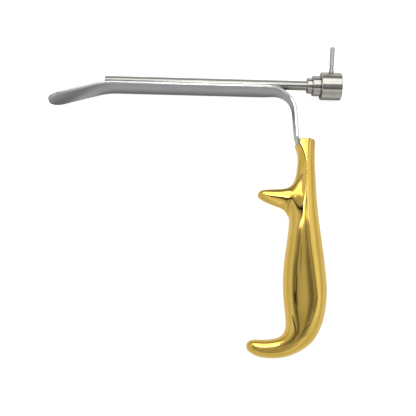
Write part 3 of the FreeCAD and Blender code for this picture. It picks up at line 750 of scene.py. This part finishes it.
def floor_material():
    """Plain white to the eye; in the metal's reflections it has a painted shadow beside the blade and
    painted glows.
    """
    material, nodes = new_material("floor_white")
    paths = nodes.add("ShaderNodeLightPath").outputs
    seen = nodes.math("ADD", paths["Is Camera Ray"], paths["Is Transmission Ray"], clamp=True)
    place = nodes.add("ShaderNodeSeparateXYZ", {0: nodes.add("ShaderNodeTexCoord").outputs["Object"]})
    y = place.outputs[1]
    beside = nodes.math("ABSOLUTE", nodes.math("SUBTRACT", y, BLADE_LINE))
    # Painted shadow: the floor that the metal sees is darker beside the blade
    white = nodes.ramp(nodes.math("DIVIDE", beside, SHADOW_REACH, clamp=True), SHADOWED_WHITE)
    diffuse = nodes.add("ShaderNodeBsdfDiffuse", {"Color": nodes.mix(seen, white, FLOOR_WHITE)})
    # Painted glow: far off and in front of the blade the floor shines in the metal's reflections
    far = nodes.spread(beside, 0.0, FAR_GLOW, FAR_FROM, FAR_TO)
    near = nodes.ramp(nodes.math("DIVIDE", y, -NEAR_REACH, clamp=True), NEAR_GLOW)
    level = nodes.mix(seen, nodes.math("ADD", far, near), FLOOR_GLOW)
    glow = nodes.add("ShaderNodeEmission", {"Color": level, "Strength": 1.0})
    both = nodes.add("ShaderNodeAddShader", {0: diffuse.outputs[0], 1: glow.outputs[0]})
    nodes.add("ShaderNodeOutputMaterial", {"Surface": both.outputs[0]})
    return material


def make_floor():
    """A white sheet that fades into the background and keeps a light shadow."""
    half = FLOOR_HALF
    z = FLOOR_Z - FLOOR_GAP
    mesh = bpy.data.meshes.new("floor")
    mesh.from_pydata([(-half, -half, z), (half, -half, z), (half, half, z), (-half, half, z)], [],
                     [(0, 1, 2, 3)])
    mesh.materials.append(floor_material())
    floor = bpy.data.objects.new("floor", mesh)
    bpy.context.scene.collection.objects.link(floor)


# What the metal reflects on each side, from straight overhead (0) down to below the horizon:
# angle from overhead in degrees, and brightness. Everything else is lit evenly.
EVEN_LIGHT = 0.4
ROOM = {
    "right": [(0, 0.58), (6, 0.62), (10, 0.5), (14, 0.18), (19, 0.14), (23, 0.4), (28, 0.9), (36, 1.1),
              (44, 1.0), (52, 0.75), (62, 0.64), (74, 0.7), (84, 0.85), (92, 1.0)],
    "left": [(0, 0.58), (6, 0.5), (11, 0.16), (16, 0.14), (22, 0.42), (31, 0.55), (40, 0.78),
             (52, 0.82), (62, 0.72), (72, 0.7), (80, 0.66), (88, 0.8), (94, 1.0)],
    "back": [(0, 0.58), (8, 0.5), (15, 0.5), (30, 0.6), (45, 0.8), (52, 0.8), (60, 0.38),
             (70, 0.3), (80, 0.5), (88, 0.8), (94, 1.0)],
    "front": [(0, 0.58), (6, 0.45), (14, 0.42), (22, 0.34), (28, 0.06), (38, 0.03), (43, 0.3),
              (50, 0.55), (58, 0.72), (75, 0.62), (90, 0.75), (100, 0.9)],
}


def make_world():
    """A white room for the camera and the floor; the metal sees a studio with darker parts."""
    world = bpy.data.worlds.new("studio")
    bpy.context.scene.world = world
    world.use_nodes = True
    nodes = Nodes(world.node_tree)
    direction = nodes.add("ShaderNodeTexCoord").outputs["Generated"]
    x, y, z = nodes.add("ShaderNodeSeparateXYZ", {0: direction}).outputs
    down = nodes.math("DIVIDE", nodes.math("ARCCOSINE", z), math.pi)
    flat = nodes.math("MAXIMUM", nodes.math("SUBTRACT", 1.0, nodes.math("MULTIPLY", z, z)), 0.000001)
    studio = 0.0
    for side, along, sign in (("right", x, 1.0), ("left", x, -1.0), ("back", y, 1.0), ("front", y, -1.0)):
        facing = nodes.math("MAXIMUM", nodes.math("MULTIPLY", along, sign), 0.0)
        weight = nodes.math("DIVIDE", nodes.math("MULTIPLY", facing, facing), flat)
        shade = nodes.ramp(down, [(angle / 180, level) for angle, level in ROOM[side]])
        studio = nodes.math("ADD", studio, nodes.math("MULTIPLY", weight, shade))
    paths = nodes.add("ShaderNodeLightPath").outputs
    mirrored = nodes.math("MULTIPLY", paths["Is Glossy Ray"], studio)
    even = nodes.math("MULTIPLY", nodes.math("SUBTRACT", 1.0, paths["Is Glossy Ray"]), EVEN_LIGHT)
    colour = nodes.mix(paths["Is Camera Ray"], nodes.math("ADD", mirrored, even), (1, 1, 1, 1))
    background = nodes.add("ShaderNodeBackground", {"Color": colour, "Strength": 1.0})
    nodes.add("ShaderNodeOutputWorld", {"Surface": background.outputs[0]})


# Softboxes over the instrument, facing down: name, two opposite corners, brightness
SOFTBOX_HEIGHT = 0.60
SOFTBOXES = [
    ("softbox_left", (-0.34, 0.14), (0.0, 0.75), 1.4),
    ("softbox_right", (0.0, 0.045), (0.30, 0.75), 1.4),
    ("softbox_front", (-0.16, 0.03), (0.0, 0.125), 6.0),
    ("front_panel", (-0.35, -0.95), (0.35, -0.46), 0.36),
]


def make_lights():
    """Panels of even brightness that the metal reflects."""
    for name, low, high, brightness in SOFTBOXES:
        data = bpy.data.lights.new(name, "AREA")
        data.shape = "RECTANGLE"
        data.size = high[0] - low[0]
        data.size_y = high[1] - low[1]
        data.energy = brightness * math.pi * data.size * data.size_y
        lamp = bpy.data.objects.new(name, data)
        lamp.location = ((low[0] + high[0]) / 2, (low[1] + high[1]) / 2, SOFTBOX_HEIGHT)
        bpy.context.scene.collection.objects.link(lamp)


make_camera()
make_floor()
make_world()
make_lights()

make_handle()
make_blade()
dress(["sheath_tube"],
      brushed_steel("polished_steel", POLISHED_STEEL, stretch=(0.05, 1, 1), scale=2500.0, strength=0.03))
dress(["lever_pin"],
      turned_steel("turned_pin", TURNED_PIN, axis=(0.02, math.cos(LEVER_LEAN), math.sin(LEVER_LEAN)),
                   stretch=(0.05, 1, 0.05), scale=2600.0, strength=0.1, streak=1.0))
dress(["front_ferrule", "lock_body", "lock_drum", "retaining_nut", "stop_pin"],
      turned_steel("turned_steel", TURNED_STEEL, axis=(1.0, 0.03, 0.02),
                   stretch=(1, 0.03, 0.03), scale=1700.0, strength=0.12, streak=0.8))
dress(["sheath_braze"], dull("solder", (0.5, 0.49, 0.46, 1), roughness=0.35, metallic=1.0))
dress(["retaining_washer"], dull("bronze", (0.55, 0.38, 0.2, 1), roughness=0.4, metallic=1.0))
dress(["friction_ring", "telescope_seal"],
      dull("seal_rubber", (0.03, 0.03, 0.03, 1), roughness=0.6, metallic=0.0))

bpy.context.scene.view_settings.view_transform = "Standard"
